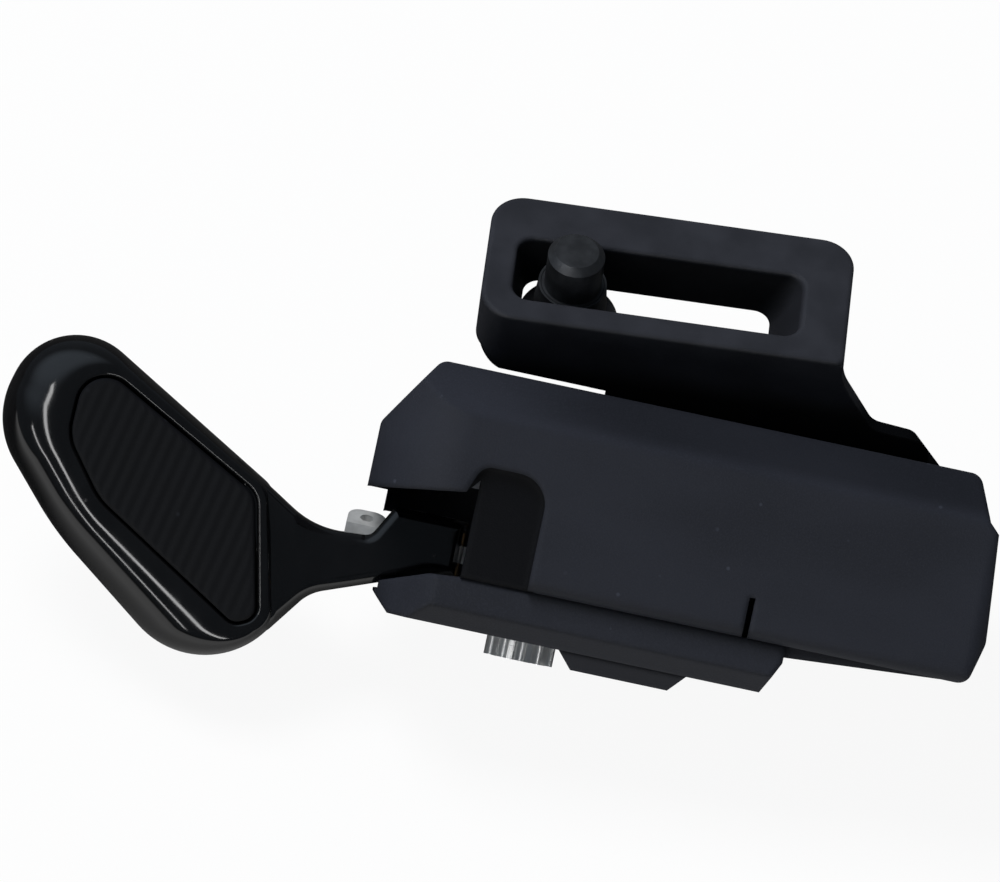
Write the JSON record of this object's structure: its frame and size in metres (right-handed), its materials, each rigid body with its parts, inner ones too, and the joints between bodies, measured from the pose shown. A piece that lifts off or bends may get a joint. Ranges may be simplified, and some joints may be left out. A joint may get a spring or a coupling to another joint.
{
  "type": "trigger gear shifter",
  "caption": "Left-hand bicycle trigger shifter: ribbed thumb paddle on a geared housing, with a slotted clamp bracket and a sliding clamp bolt.",
  "frame": {"origin": "on the clamp bolt axis, at the clamp face of the bracket", "axes": "+X along the bracket slot towards the cable end, +Z along the clamp bolt out of the clamp face"},
  "size_m": [0.0874, 0.0373, 0.035],
  "materials": {
    "cover_plastic": "fine-grained matte, blue-black",
    "drum_plastic": "plain grey",
    "bracket_black": "satin black anodised",
    "lever_gloss": "high gloss black",
    "pad_rubber": "matte, ribbed",
    "bright_steel": "bright plated",
    "black_steel": "black oxide",
    "bush_brass": "plain",
    "stop_black": "plain black"
  },
  "bodies": {
    "housing": {"upper_cover": "cover_plastic", "lower_case": "cover_plastic", "cable_port_cover": "cover_plastic", "casing_stop": "stop_black", "base_plate": "bright_steel", "main_axle": "bright_steel", "axle_nut": "bright_steel", "axle_washer": "bright_steel", "axle_clip": "bright_steel", "lever_bushing": "bush_brass", "drum_bushing": "bush_brass", "lever_spring": "bright_steel", "hold_pawl_pin": "bright_steel", "cover_screws": "black_steel", "bracket_screws": "black_steel", "bracket": "bracket_black"},
    "lever": {"lever_plate": "bright_steel", "lever_paddle": "lever_gloss", "lever_rivets": "bright_steel", "grip_pad": "pad_rubber", "drive_pawl_pin": "bright_steel"},
    "winder": {"ratchet_wheel": "bright_steel", "cable_drum": "drum_plastic"},
    "drive_pawl": {"drive_pawl": "bright_steel"},
    "hold_pawl": {"hold_pawl": "bright_steel"},
    "clamp_bolt": {"clamp_bolt": "black_steel", "slot_collar": "black_steel"}
  },
  "joints": [
    {"name": "lever_push", "type": "hinge", "parent": "housing", "child": "lever", "pos_m": [-0.0001, -0.0227, -0.0243], "axis": [-0.0698, -0.7642, -0.6412], "range_deg": [0, 36], "stiffness_Nm_per_rad": 0.2, "springref_deg": -17.19},
    {"name": "winder_turn", "type": "hinge", "parent": "housing", "child": "winder", "pos_m": [-0.0001, -0.0227, -0.0243], "axis": [-0.0698, -0.7642, -0.6412], "range_deg": [0, 36]},
    {"name": "drive_pawl_lift", "type": "hinge", "parent": "lever", "child": "drive_pawl", "pos_m": [-0.00293, -0.02756, -0.0182], "axis": [0.0698, 0.7642, 0.6412], "range_deg": [0, 15], "stiffness_Nm_per_rad": 0.004, "springref_deg": -11.46},
    {"name": "hold_pawl_lift", "type": "hinge", "parent": "housing", "child": "hold_pawl", "pos_m": [0.00687, -0.02712, -0.01979], "axis": [-0.0698, -0.7642, -0.6412], "range_deg": [0, 15], "stiffness_Nm_per_rad": 0.004, "springref_deg": -11.46},
    {"name": "bolt_slide", "type": "slide", "parent": "housing", "child": "clamp_bolt", "axis": [1, 0, 0], "range_m": [-0.0007, 0.0141]}
  ],
  "couplings": [
    {"joint": "winder_turn", "follows": "lever_push", "ratio": 1}
  ]
}
